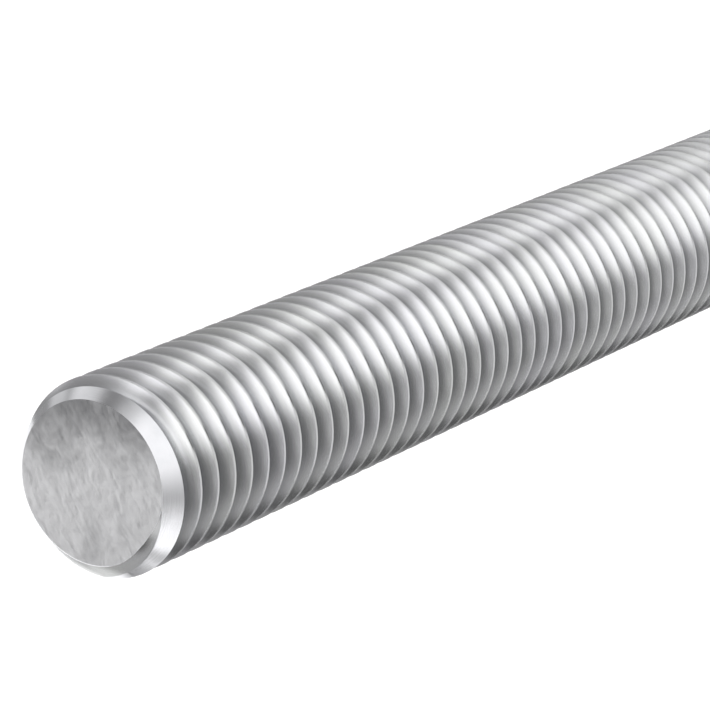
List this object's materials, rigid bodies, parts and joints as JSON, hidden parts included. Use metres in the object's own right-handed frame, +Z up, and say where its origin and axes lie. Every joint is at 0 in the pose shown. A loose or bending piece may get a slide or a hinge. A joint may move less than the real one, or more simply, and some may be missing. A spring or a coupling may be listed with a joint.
{
  "type": "threaded rod",
  "caption": "Straight steel rod with a right-hand metric thread along its whole length and a chamfered flat face at each end.",
  "frame": {"origin": "centre of the lower end face, on the rod's axis", "axes": "+Z up along the rod's axis, from the lower end face to the upper one; +X and +Y are square to it and alike on a round rod"},
  "size_m": [0.012, 0.012, 0.15],
  "materials": {
    "bright_steel": "bright zinc-plated steel: satin on the rolled thread, polished on the chamfers, cloudy grey on the cut end faces"
  },
  "bodies": {
    "root": {"threaded_rod": "bright_steel"}
  },
  "joints": []
}
